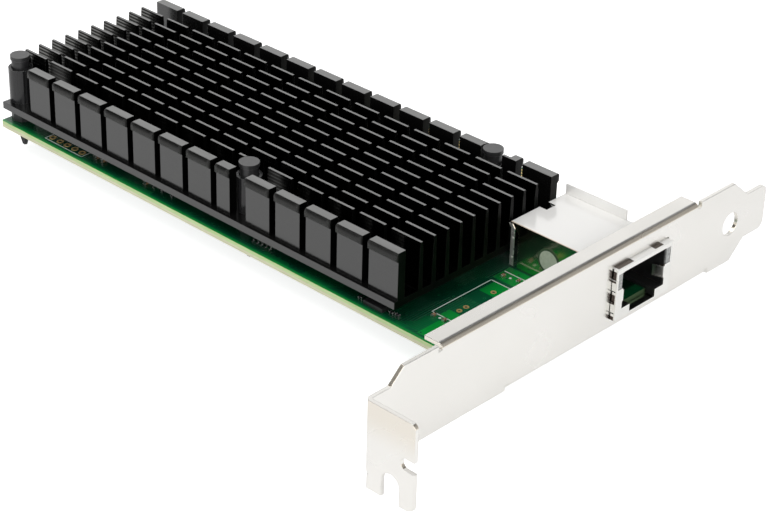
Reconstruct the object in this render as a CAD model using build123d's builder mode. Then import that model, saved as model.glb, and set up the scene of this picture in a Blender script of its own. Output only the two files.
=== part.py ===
import os
from build123d import *

os.makedirs("parts", exist_ok=True)

# Network interface card lying flat, component side up, in millimetres.
# X runs along the bracket from its screw flange to its tongue, Y runs from the
# bracket into the card, Z is up. The origin is the middle of the outline on the ground.

# Bracket sheet
sheet = 0.86
fold_radius = 1.2
bracket_length = 120.02
bracket_width = 18.42
neck_length = 5.75
neck_height = 15.35
neck_slope = 3.35
tongue_length = 6.75
tongue_width = 10.19
tongue_centre = 9.05
tongue_slope_top = 5.1
tongue_slope_low = 4.4
tongue_corner = 1.7
key_hole_radius = 2.6
key_hole_from_tip = 12.1
relief = 1.0
flange_relief = 0.33
lip_depth = 4.5
lip_start = 19.2
lip_length = 76.6
foot_depth = 6.2
foot_start = 38.6
foot_length = 61.6

# Screw flange of the bracket
flange_depth = 11.43
flange_drop = 3.48
flange_corner = 1.3
screw_slot_width = 4.42
screw_slot_depth = 5.8
screw_slot_from_edge = 5.8
screw_slot_land = 1.1
guide_slot_width = 2.5
guide_slot_depth = 3.3
guide_slot_height = 9.65

# Window of the bracket and the socket behind it
window_start = 68.4
window_width = 18.1
window_height = 12.0
window_low = 2.56
window_corner = 0.6
window_clearance = 0.3
socket_nose = 1.25
shield = 0.3
shield_depth = 27.65
shield_height = 10.23
shield_rear_step = 2.2
shield_rear_drop = 2.3
shield_tail_slot = 2.8
shield_tail_slot_depth = 1.9
shield_tail_slot_shift = 1.55
shield_leg_width = 1.0
shield_leg_from_front = 11.5
side_rib_height = 2.25
side_rib_start = 10.5
finger_height = 2.3
finger_length = 3.4
finger_spread = 0.15
finger_slot = 0.25
finger_low = 1.85
finger_pitch = 4.9
top_finger_width = 6.8
plug_width = 13.4
plug_height = 8.35
plug_low = 2.3
plug_depth = 15.2
latch_width = 8.1
latch_depth = 1.7
latch_reach = 9.0
lamp_width = 1.6
lamp_height = 3.6
lamp_clearance = 0.1
lamp_wall = 0.3
lamp_recess = 0.1
housing_back_wall = 1.8
tab_height = 2.6
tab_rise = 1.65
tab_reach = 2.4
tab_lean = 0.7
wire_count = 8
wire_pitch = 1.02
wire_width = 0.45
wire_thick = 0.3
wire_front = 3.2
wire_front_drop = 0.9
wire_rear_drop = 3.8
wire_bend = 1.4
pin_size = 0.5
pin_pitch = 2.0
pin_count = 6
pin_from_rear = 5.0
pin_below = 1.0
pin_clearance = 0.15
housing_clearance = 0.1
sticker_radius = 2.8
sticker_thick = 0.1
sticker_from_face = 16.1
sticker_height = 9.1

# Circuit board
board_thick = 1.57
board_low = 2.4
board_start = 34.9
board_reach = 149.4
board_gap = 0.44
board_corner = 0.6
board_height = 68.9
edge_tab_height = 8.25
edge_tab_start = 44.0
edge_tab_short = 11.65
edge_key_width = 1.9
edge_key_depth = 7.6
edge_tab_long = 38.65
edge_bevel = 0.45
contact_pitch = 1.0
contact_width = 0.7
contact_length = 5.6
contact_thick = 0.05
contact_from_edge = 1.2
contacts_short = 11
contacts_long = 38

# Heatsink, an extrusion along Y with cross cuts
sink_start = 35.3
sink_width = 49.2
sink_front = 27.0
sink_rear_gap = 0.5
sink_top = 19.3
sink_base = 1.6
sink_lift = 3.06
edge_fin_inset = 0.85
edge_fin_width = 2.0
edge_fin_swell = 0.5
edge_fin_crown = 2.1
edge_fin_lip = 1.75
edge_fin_round = 0.55
fin_count = 10
fin_edge_gap = 4.56
fin_width = 0.84
fin_tip = 0.56
fin_root = 1.3
fin_crown = 1.6
cut_count = 13
cut_width = 1.8
cut_first = 7.86
cut_last = 7.24

# Push pins, their sleeves and springs; small round parts have this many sides
small_sides = 8
pin_head_radius = 2.2
pin_head_thick = 0.95
pin_head_rise = 0.35
pin_body_radius = 1.95
pin_body_length = 4.0
pin_shaft_radius = 0.95
pin_hole_radius = 1.15
barb_radius = 1.5
barb_tip_radius = 0.55
barb_from_board = 1.3
barb_slit = 0.35
barb_below_board = 5.1
sleeve_radius = 2.75
sleeve_wall = 0.6
sleeve_below_top = 2.6
spacer_radius = 2.65
spring_wire = 0.4
spring_turns = 3
spring_sides = 10
spring_clearance = 0.12
pocket_clearance = 0.25
pocket_beyond_pin = 0.6
pocket_before_pin = 4.8
pin_near_inset = 4.05
pin_rear_inset = 1.9
pin_middle_inset = 5.9
pin_middle_from_rear = 74.8
pin_far_inset = 2.25
pin_far_from_front = 16.4

# Parts soldered on the board
chip_side = 25.0
chip_thick = 1.3
lid_side = 17.0
lid_thick = 1.2
lid_corner = 1.0
flash_width = 3.9
flash_length = 6.6
flash_thick = 1.5
flash_bevel = 0.25
flash_inset = 5.55
flash_from_pin = 7.2
lead_count = 5
lead_pitch = 1.27
lead_length = 1.0
lead_width = 0.42
lead_thick = 0.2
crystal_length = 5.0
crystal_width = 3.2
crystal_thick = 1.0
crystal_corner = 0.4
crystal_from_chip = 4.0
coil_side = 6.2
coil_thick = 2.7
coil_corner = 1.0
coil_pitch = 8.5
coil_count = 3
power_from_front = 30.0
regulator_side = 5.0
regulator_thick = 0.9
regulator_gap = 1.0
capacitor_length = 1.6
capacitor_width = 0.8
capacitor_thick = 0.8
resistor_length = 1.0
resistor_width = 0.5
resistor_thick = 0.4
small_part_pitch = 3.0
small_part_count = 8
edge_part_inset = 3.75
edge_parts_from_rear = (29.3, 31.5, 45.7, 48.4, 50.9, 54.1)

# Screws that hold the bracket's foot to the board
foot_screw_radius = 1.2
foot_screw_head_radius = 2.3
foot_screw_head_thick = 1.5
foot_screw_cross = 3.0
foot_screw_cross_width = 0.6
foot_screw_cross_depth = 0.75
foot_post_radius = 2.2
foot_post_sides = 6
foot_screw_inset = 4.0
foot_screw_from_face = 3.7
foot_screw_clearance = 0.15

# Places worked out from the sizes above
x0 = -bracket_length / 2
y0 = (flange_depth - board_reach) / 2
z0 = flange_drop
tip_x = x0 + bracket_length
plate_top = z0 + bracket_width
board_x = x0 + board_start
board_y = y0 + sheet + board_gap
board_rear = y0 + board_reach
board_z = z0 + board_low
board_top = board_z + board_thick
board_far = board_x + board_height - edge_tab_height
tab_y = y0 + edge_tab_start
sink_x = x0 + sink_start
sink_far = sink_x + sink_width
sink_y = y0 + sink_front
sink_rear = board_rear - sink_rear_gap
sink_length = sink_rear - sink_y
sink_z = board_top + sink_lift
fin_base = sink_z + sink_base
fin_top = z0 + sink_top
socket_x = x0 + window_start + window_clearance
socket_width = window_width - 2 * window_clearance
socket_mid = socket_x + socket_width / 2
socket_y = y0 - socket_nose
socket_top = board_top + shield_height
nose_low = z0 + window_low + window_clearance / 2
plug_z = z0 + window_low + plug_low
inner_width = socket_width - 2 * shield - 2 * housing_clearance
housing_y = socket_y + shield + housing_clearance
housing_top = socket_top - shield - housing_clearance
housing_rear = socket_y + plug_depth + housing_back_wall
shield_rear = socket_y + shield_depth - shield_rear_step
rear_inside = shield_rear - shield - housing_clearance
lamp_x = plug_width / 2 + lamp_width / 2
lamp_top = plug_z + plug_height - lamp_clearance

pin_spots = [
    (sink_x + pin_near_inset, sink_rear - pin_rear_inset),
    (sink_x + pin_middle_inset, sink_rear - pin_middle_from_rear),
    (sink_far - pin_far_inset, sink_y + pin_far_from_front),
]
foot_screw_spots = [
    (x0 + foot_start + foot_screw_inset, y0 + foot_screw_from_face),
    (board_far - foot_screw_inset, y0 + foot_screw_from_face),
]
chip_spot = ((sink_x + sink_far) / 2, (sink_y + sink_rear) / 2)

# The bracket: one folded sheet with a screw flange, a tongue, a lip and a foot
window_spot = (x0 + window_start + window_width / 2, z0 + window_low + window_height / 2)
key_hole_spot = (tip_x - key_hole_from_tip, z0 + tongue_centre)
tongue_top = z0 + tongue_centre + tongue_width / 2
tongue_low = tongue_top - tongue_width
shoulder_x = tip_x - tongue_length
fold_middle = sheet - fold_radius
with BuildPart() as bracket:
    with BuildSketch(Plane.XZ.offset(-y0)):
        with BuildLine():
            Polyline(
                (x0 + fold_radius, z0),
                (shoulder_x - tongue_slope_low, z0),
                (shoulder_x, tongue_low),
                (tip_x, tongue_low),
                (tip_x, tongue_top),
                (shoulder_x, tongue_top),
                (shoulder_x - tongue_slope_top, plate_top),
                (x0 + neck_length + neck_slope, plate_top),
                (x0 + neck_length, z0 + neck_height),
                (x0 + fold_radius, z0 + neck_height),
                close=True,
            )
        make_face()
        fillet(vertices().group_by(Axis.X)[-1], tongue_corner)
        with Locations(window_spot):
            RectangleRounded(window_width, window_height, window_corner, mode=Mode.SUBTRACT)
        with Locations(key_hole_spot):
            Circle(key_hole_radius, mode=Mode.SUBTRACT)
        with Locations((x0 + lip_start + lip_length / 2, plate_top)):
            Rectangle(lip_length + 2 * relief, 2 * fold_radius, mode=Mode.SUBTRACT)
        with Locations((x0 + foot_start + foot_length / 2, z0)):
            Rectangle(foot_length + 2 * relief, 2 * fold_radius, mode=Mode.SUBTRACT)
    extrude(amount=-sheet)
    # Lip along the upper edge
    with BuildSketch(Plane.YZ.offset(x0 + lip_start)):
        with BuildLine():
            l1 = Line((y0, plate_top - fold_radius), (y0 + sheet, plate_top - fold_radius))
            l2 = RadiusArc(l1 @ 1, (y0 + fold_radius, plate_top - sheet), fold_radius - sheet)
            l3 = Line(l2 @ 1, (y0 + lip_depth, plate_top - sheet))
            l4 = Line(l3 @ 1, (y0 + lip_depth, plate_top))
            l5 = Line(l4 @ 1, (y0 + fold_radius, plate_top))
            RadiusArc(l5 @ 1, l1 @ 0, -fold_radius)
        make_face()
    extrude(amount=lip_length)
    # Foot along the lower edge, under the board
    with BuildSketch(Plane.YZ.offset(x0 + foot_start)):
        with BuildLine():
            f1 = Line((y0, z0 + fold_radius), (y0 + sheet, z0 + fold_radius))
            f2 = RadiusArc(f1 @ 1, (y0 + fold_radius, z0 + sheet), -(fold_radius - sheet))
            f3 = Line(f2 @ 1, (y0 + foot_depth, z0 + sheet))
            f4 = Line(f3 @ 1, (y0 + foot_depth, z0))
            f5 = Line(f4 @ 1, (y0 + fold_radius, z0))
            RadiusArc(f5 @ 1, f1 @ 0, fold_radius)
        make_face()
    extrude(amount=foot_length)
    # Fold between the plate and the screw flange
    with BuildSketch(Plane.XY.offset(z0)):
        with BuildLine():
            b1 = Line((x0 + fold_radius, y0), (x0 + fold_radius, y0 + sheet))
            b2 = RadiusArc(b1 @ 1, (x0, y0 + fold_middle), -fold_radius)
            b3 = Line(b2 @ 1, (x0 + sheet, y0 + fold_middle))
            RadiusArc(b3 @ 1, b1 @ 0, fold_radius - sheet)
        make_face()
    extrude(amount=neck_height)
    # Flange with its screw slot and its guide slot
    slot_y = y0 - screw_slot_from_edge
    with BuildSketch(Plane.YZ.offset(x0)):
        with BuildLine():
            Polyline(
                (y0 + fold_middle, z0 + neck_height),
                (y0 - flange_depth, z0 + neck_height),
                (y0 - flange_depth, 0),
                (y0, 0),
                (y0, z0 - flange_relief),
                (y0 + fold_middle, z0 - flange_relief),
                close=True,
            )
        make_face()
        fillet(vertices().group_by(Axis.X)[0], flange_corner)
        with Locations((slot_y, screw_slot_depth - screw_slot_width / 2)):
            Circle(screw_slot_width / 2, mode=Mode.SUBTRACT)
        with Locations((slot_y, (screw_slot_depth - screw_slot_width / 2) / 2)):
            Rectangle(screw_slot_width, screw_slot_depth - screw_slot_width / 2, mode=Mode.SUBTRACT)
        with Locations((y0 - flange_depth, guide_slot_height)):
            SlotOverall(2 * guide_slot_depth, guide_slot_width, mode=Mode.SUBTRACT)
    extrude(amount=sheet)
    # Threaded holes in the foot
    with BuildSketch(Plane.XY.offset(z0)):
        with Locations(*foot_screw_spots):
            Circle(foot_screw_radius + foot_screw_clearance)
    extrude(amount=sheet, mode=Mode.SUBTRACT)
bracket.part.label = "bracket"
export_step(bracket.part, "parts/bracket.step")

# Two threaded posts on the foot carry the board
with BuildPart() as bracket_posts:
    with BuildSketch(Plane.XY.offset(z0 + sheet)):
        with Locations(*foot_screw_spots):
            RegularPolygon(foot_post_radius, foot_post_sides)
            RegularPolygon(foot_screw_radius + foot_screw_clearance, small_sides, mode=Mode.SUBTRACT)
    extrude(amount=board_low - sheet)
bracket_posts.part.label = "bracket_posts"
export_step(bracket_posts.part, "parts/bracket_posts.step")

# Two screws through the board into the posts
with BuildPart() as bracket_screws:
    with BuildSketch(Plane.XY.offset(z0)):
        with Locations(*foot_screw_spots):
            RegularPolygon(foot_screw_radius, small_sides)
    extrude(amount=board_low + board_thick)
    with BuildSketch(Plane.XY.offset(board_top)):
        with Locations(*foot_screw_spots):
            Circle(foot_screw_head_radius)
    extrude(amount=foot_screw_head_thick)
    with BuildSketch(Plane.XY.offset(board_top + foot_screw_head_thick)):
        with Locations(*foot_screw_spots):
            Rectangle(foot_screw_cross, foot_screw_cross_width)
            Rectangle(foot_screw_cross_width, foot_screw_cross)
    extrude(amount=-foot_screw_cross_depth, mode=Mode.SUBTRACT)
bracket_screws.part.label = "bracket_screws"
export_step(bracket_screws.part, "parts/bracket_screws.step")

# The circuit board with its plug-in edge
edge_low = board_far + edge_tab_height
key_y = tab_y + edge_tab_short + edge_key_width / 2
edge_length = edge_tab_short + edge_key_width + edge_tab_long
solder_pin_y = shield_rear - pin_from_rear
with BuildPart() as circuit_board:
    with BuildSketch(Plane.XY.offset(board_z)):
        with BuildLine():
            Polyline(
                (board_x, board_y),
                (board_far, board_y),
                (board_far, tab_y),
                (edge_low, tab_y),
                (edge_low, tab_y + edge_length),
                (board_far, tab_y + edge_length),
                (board_far, board_rear),
                (board_x, board_rear),
                close=True,
            )
        make_face()
        fillet(vertices().group_by(Axis.X)[0], board_corner)
    extrude(amount=board_thick)
    chamfer(edges().filter_by(Axis.Y).group_by(Axis.X)[-1], edge_bevel)
    with BuildSketch(Plane.XY.offset(board_z)):
        with Locations((edge_low - edge_key_depth / 2, key_y)):
            Rectangle(edge_key_depth, edge_key_width)
        with Locations(*pin_spots):
            Circle(pin_hole_radius)
        with Locations(*foot_screw_spots):
            Circle(foot_screw_radius + foot_screw_clearance)
        with Locations((socket_mid, solder_pin_y)):
            with GridLocations(pin_pitch, pin_pitch, pin_count, 2):
                Rectangle(pin_size + 2 * pin_clearance, pin_size + 2 * pin_clearance)
        with Locations((socket_mid, socket_y + shield_leg_from_front)):
            with GridLocations(socket_width - shield, 1, 2, 1):
                Rectangle(shield + 2 * pin_clearance, shield_leg_width + 2 * pin_clearance)
    extrude(amount=board_thick, mode=Mode.SUBTRACT)
circuit_board.part.label = "circuit_board"
export_step(circuit_board.part, "parts/circuit_board.step")

# Gold contacts on both faces of the plug-in edge
contact_x = edge_low - contact_from_edge - contact_length / 2
short_middle = tab_y + edge_tab_short / 2
long_middle = tab_y + edge_length - edge_tab_long / 2
with BuildPart() as edge_contacts_top:
    with BuildSketch(Plane.XY.offset(board_top)):
        with Locations((contact_x, short_middle)):
            with GridLocations(1, contact_pitch, 1, contacts_short):
                Rectangle(contact_length, contact_width)
        with Locations((contact_x, long_middle)):
            with GridLocations(1, contact_pitch, 1, contacts_long):
                Rectangle(contact_length, contact_width)
    extrude(amount=contact_thick)
edge_contacts_top.part.label = "edge_contacts_top"
export_step(edge_contacts_top.part, "parts/edge_contacts_top.step")

with BuildPart() as edge_contacts_low:
    with BuildSketch(Plane.XY.offset(board_z - contact_thick)):
        with Locations((contact_x, short_middle)):
            with GridLocations(1, contact_pitch, 1, contacts_short):
                Rectangle(contact_length, contact_width)
        with Locations((contact_x, long_middle)):
            with GridLocations(1, contact_pitch, 1, contacts_long):
                Rectangle(contact_length, contact_width)
    extrude(amount=contact_thick)
edge_contacts_low.part.label = "edge_contacts_low"
export_step(edge_contacts_low.part, "parts/edge_contacts_low.step")

# The heatsink: ten thin fins between two swollen edge fins, cut across
fin_middle = (sink_x + sink_far) / 2
fin_height = fin_top - fin_base
edge_fin_reach = edge_fin_inset + edge_fin_width + fin_edge_gap
fin_pitch = (sink_width - 2 * edge_fin_reach) / (fin_count - 1)
cut_y = sink_y + cut_first + cut_width / 2
cut_span = sink_length - cut_first - cut_last - cut_width
cut_pitch = cut_span / (cut_count - 1)
pocket_radius = sleeve_radius + pocket_clearance
near_face = sink_x + edge_fin_inset
lip_face = near_face - edge_fin_swell
with BuildPart() as heatsink:
    with BuildSketch(Plane.XZ.offset(-sink_y)):
        with BuildLine():
            Polyline(
                (near_face, fin_base - sink_base / 2),
                (near_face, fin_top - edge_fin_crown),
                (lip_face, fin_top - edge_fin_lip),
                (lip_face, fin_top - edge_fin_round),
                (lip_face + edge_fin_round / 4, fin_top - edge_fin_round / 4),
                (lip_face + edge_fin_round, fin_top),
                (near_face + edge_fin_width, fin_top),
                (near_face + edge_fin_width, fin_base - sink_base / 2),
                close=True,
            )
        make_face()
        mirror(about=Plane.YZ.offset(fin_middle))
        with Locations((fin_middle, sink_z)):
            Rectangle(sink_width, sink_base, align=(Align.CENTER, Align.MIN))
    extrude(amount=-sink_length)
    # One thin fin, then its copies side by side
    with BuildSketch(Plane.XZ.offset(-sink_y)):
        with BuildLine(mode=Mode.PRIVATE) as fin_line:
            Polyline(
                (-fin_root / 2, -sink_base / 2),
                (-fin_width / 2, fin_height - fin_crown),
                (-fin_tip / 2, fin_height),
                (fin_tip / 2, fin_height),
                (fin_width / 2, fin_height - fin_crown),
                (fin_root / 2, -sink_base / 2),
                close=True,
            )
        with Locations((fin_middle, fin_base)):
            with GridLocations(fin_pitch, 1, fin_count, 1):
                add(make_face(fin_line.edges(), mode=Mode.PRIVATE))
    extrude(amount=-sink_length)
    # Cross cuts down to the base
    with BuildSketch(Plane.XY.offset(fin_base)):
        with Locations((fin_middle, cut_y + cut_span / 2)):
            with GridLocations(1, cut_pitch, 1, cut_count):
                Rectangle(2 * sink_width, cut_width)
    extrude(amount=2 * fin_height, mode=Mode.SUBTRACT)
    # Milled pockets round the three pins, each open to the nearest side
    near_pocket_y = pin_spots[1][1] + pocket_beyond_pin
    far_pocket_y = pin_spots[2][1] - pocket_before_pin
    with BuildSketch(Plane.XY.offset(fin_base)):
        with Locations(*pin_spots):
            Circle(pocket_radius)
        with Locations((sink_x, sink_rear)):
            Rectangle(2 * (edge_fin_reach - fin_root), 2 * (cut_last + cut_width / 2))
        with Locations((sink_x, near_pocket_y)):
            Rectangle(
                pin_middle_inset,
                pocket_radius + pocket_beyond_pin,
                align=(Align.MIN, Align.MAX),
            )
        with Locations((sink_far, far_pocket_y)):
            Rectangle(pin_far_inset, pocket_before_pin, align=(Align.MAX, Align.MIN))
    extrude(amount=2 * fin_height, mode=Mode.SUBTRACT)
    with BuildSketch(Plane.XY.offset(sink_z)):
        with Locations(*pin_spots):
            RegularPolygon(pin_hole_radius, small_sides)
    extrude(amount=sink_base, mode=Mode.SUBTRACT)
heatsink.part.label = "heatsink"
export_step(heatsink.part, "parts/heatsink.step")

# Three push pins: round head, thick body, shaft and split barb under the board
head_top = fin_top + pin_head_rise
body_low = head_top - pin_head_thick - pin_body_length
barb_low = board_z - barb_below_board
with BuildPart() as one_pin:
    with BuildSketch(Plane.XY.offset(head_top - pin_head_thick)):
        Circle(pin_head_radius)
    extrude(amount=pin_head_thick)
    with BuildSketch(Plane.XY.offset(body_low)):
        Circle(pin_body_radius)
    extrude(amount=pin_body_length)
    with BuildSketch(Plane.XY.offset(board_z)):
        RegularPolygon(pin_shaft_radius, small_sides)
    extrude(amount=body_low - board_z)
    with BuildSketch(Plane.XY.offset(barb_low)):
        RegularPolygon(barb_tip_radius, small_sides)
    with BuildSketch(Plane.XY.offset(board_z - barb_from_board)):
        RegularPolygon(barb_radius, small_sides)
    with BuildSketch(Plane.XY.offset(board_z)):
        RegularPolygon(pin_shaft_radius, small_sides)
    loft(ruled=True)
    with BuildSketch(Plane.XY.offset(barb_low)):
        Rectangle(2 * barb_radius, barb_slit)
    extrude(amount=barb_below_board - barb_from_board, mode=Mode.SUBTRACT)
with BuildPart() as push_pins:
    with Locations(*pin_spots):
        add(one_pin.part)
push_pins.part.label = "push_pins"
export_step(push_pins.part, "parts/push_pins.step")

# Sleeves round the pins, standing on the base of the heatsink
sleeve_top = fin_top - sleeve_below_top
with BuildPart() as pin_sleeves:
    with BuildSketch(Plane.XY.offset(fin_base)):
        with Locations(*pin_spots):
            Circle(sleeve_radius)
            RegularPolygon(sleeve_radius - sleeve_wall, 2 * small_sides, mode=Mode.SUBTRACT)
    extrude(amount=sleeve_top - fin_base)
pin_sleeves.part.label = "pin_sleeves"
export_step(pin_sleeves.part, "parts/pin_sleeves.step")

# Coil springs inside the sleeves, between the base and the body of each pin
spring_radius = sleeve_radius - sleeve_wall - spring_clearance - spring_wire / 2
spring_height = body_low - fin_base - spring_wire - 2 * spring_clearance
spring_steps = spring_turns * spring_sides
spring_path = [
    Vector(spring_radius, 0, step * spring_height / spring_steps).rotate(Axis.Z, step * 360 / spring_sides)
    for step in range(spring_steps + 1)
]
with BuildPart() as one_spring:
    with BuildLine() as coil:
        Polyline(*spring_path)
    with BuildSketch(Plane(origin=coil.line @ 0, z_dir=coil.line % 0)):
        Rectangle(spring_wire, spring_wire)
    sweep(transition=Transition.RIGHT)
spring_low = fin_base + spring_wire / 2 + spring_clearance
with BuildPart() as pin_springs:
    with Locations(*[(x, y, spring_low) for x, y in pin_spots]):
        add(one_spring.part)
pin_springs.part.label = "pin_springs"
export_step(pin_springs.part, "parts/pin_springs.step")

# Spacers between the base and the board
with BuildPart() as pin_spacers:
    with BuildSketch(Plane.XY.offset(board_top)):
        with Locations(*pin_spots):
            RegularPolygon(spacer_radius, small_sides)
            RegularPolygon(pin_hole_radius, small_sides, mode=Mode.SUBTRACT)
    extrude(amount=sink_lift)
pin_spacers.part.label = "pin_spacers"
export_step(pin_spacers.part, "parts/pin_spacers.step")

# The controller chip: carrier, metal lid and the soft pad under the heatsink
with BuildPart() as chip_carrier:
    with BuildSketch(Plane.XY.offset(board_top)):
        with Locations(chip_spot):
            Rectangle(chip_side, chip_side)
    extrude(amount=chip_thick)
    chamfer(edges().filter_by(Axis.Z).sort_by(Axis.X)[0], chip_thick)
chip_carrier.part.label = "chip_carrier"
export_step(chip_carrier.part, "parts/chip_carrier.step")

with BuildPart() as chip_lid:
    with BuildSketch(Plane.XY.offset(board_top + chip_thick)):
        with Locations(chip_spot):
            Rectangle(lid_side, lid_side)
    extrude(amount=lid_thick)
    chamfer(edges().filter_by(Axis.Z), lid_corner)
chip_lid.part.label = "chip_lid"
export_step(chip_lid.part, "parts/chip_lid.step")

with BuildPart() as thermal_pad:
    with BuildSketch(Plane.XY.offset(board_top + chip_thick + lid_thick)):
        with Locations(chip_spot):
            Rectangle(lid_side, lid_side)
    extrude(amount=sink_lift - chip_thick - lid_thick)
thermal_pad.part.label = "thermal_pad"
export_step(thermal_pad.part, "parts/thermal_pad.step")

# Memory chip by the near edge, its leads in a row
flash_x = board_x + flash_inset
flash_y = pin_spots[1][1] - flash_from_pin
lead_foot = flash_width / 2 + lead_length
lead_bend = flash_width / 2 + lead_length / 2
lead_inner = flash_width / 2 + lead_length / 4
lead_top = board_top + flash_thick / 2
with BuildPart() as memory_chip:
    with BuildSketch(Plane.XY.offset(board_top + lead_thick)):
        with Locations((flash_x, flash_y)):
            Rectangle(flash_width, flash_length)
    extrude(amount=flash_thick)
    chamfer(faces().sort_by(Axis.Z)[-1].edges(), flash_bevel)
memory_chip.part.label = "memory_chip"
export_step(memory_chip.part, "parts/memory_chip.step")

with BuildPart() as lead_pair:
    with BuildSketch(Plane.XZ.offset(lead_width / 2)):
        with BuildLine(mode=Mode.PRIVATE) as lead_line:
            Polyline(
                (flash_width / 2, lead_top),
                (lead_bend, lead_top),
                (lead_bend, board_top + lead_thick),
                (lead_foot, board_top + lead_thick),
                (lead_foot, board_top),
                (lead_inner, board_top),
                (lead_inner, lead_top - lead_thick),
                (flash_width / 2, lead_top - lead_thick),
                close=True,
            )
        add(make_face(lead_line.edges(), mode=Mode.PRIVATE))
    extrude(amount=-lead_width)
    mirror(about=Plane.YZ)
with BuildPart() as memory_chip_leads:
    with Locations((flash_x, flash_y)):
        with GridLocations(1, lead_pitch, 1, lead_count):
            add(lead_pair.part)
memory_chip_leads.part.label = "memory_chip_leads"
export_step(memory_chip_leads.part, "parts/memory_chip_leads.step")

# Crystal, power coils and regulators under the heatsink
sink_mid_x = chip_spot[0]
power_y = sink_y + power_from_front
with BuildPart() as crystal:
    with BuildSketch(Plane.XY.offset(board_top)):
        with Locations((sink_mid_x - chip_side / 2 - crystal_from_chip, chip_spot[1])):
            Rectangle(crystal_width, crystal_length)
    extrude(amount=crystal_thick)
    chamfer(edges().filter_by(Axis.Z), crystal_corner)
crystal.part.label = "crystal"
export_step(crystal.part, "parts/crystal.step")

with BuildPart() as power_coils:
    with BuildSketch(Plane.XY.offset(board_top)):
        with Locations((sink_mid_x, power_y)):
            with GridLocations(coil_pitch, 1, coil_count, 1):
                Rectangle(coil_side, coil_side)
    extrude(amount=coil_thick)
    chamfer(edges().filter_by(Axis.Z), coil_corner)
power_coils.part.label = "power_coils"
export_step(power_coils.part, "parts/power_coils.step")

with BuildPart() as regulators:
    with BuildSketch(Plane.XY.offset(board_top)):
        with Locations((sink_mid_x, power_y + coil_side + regulator_gap)):
            with GridLocations(coil_pitch, 1, coil_count, 1):
                Rectangle(regulator_side, regulator_side)
    extrude(amount=regulator_thick)
regulators.part.label = "regulators"
export_step(regulators.part, "parts/regulators.step")

# Capacitors and resistors: a row by the near edge and two rows under the heatsink
edge_part_spots = [(board_x + edge_part_inset, board_rear - d) for d in edge_parts_from_rear]
with BuildPart() as capacitors:
    with BuildSketch(Plane.XY.offset(board_top)):
        with Locations(*edge_part_spots[:3]):
            Rectangle(capacitor_length, capacitor_width)
        with Locations((sink_mid_x, power_y - coil_side)):
            with GridLocations(small_part_pitch, 1, small_part_count, 1):
                Rectangle(capacitor_width, capacitor_length)
    extrude(amount=capacitor_thick)
capacitors.part.label = "capacitors"
export_step(capacitors.part, "parts/capacitors.step")

with BuildPart() as resistors:
    with BuildSketch(Plane.XY.offset(board_top)):
        with Locations(*edge_part_spots[3:]):
            Rectangle(resistor_length, resistor_width)
        with Locations((sink_mid_x, chip_spot[1] + chip_side)):
            with GridLocations(small_part_pitch, 1, small_part_count, 1):
                Rectangle(resistor_width, resistor_length)
    extrude(amount=resistor_thick)
resistors.part.label = "resistors"
export_step(resistors.part, "parts/resistors.step")

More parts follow.
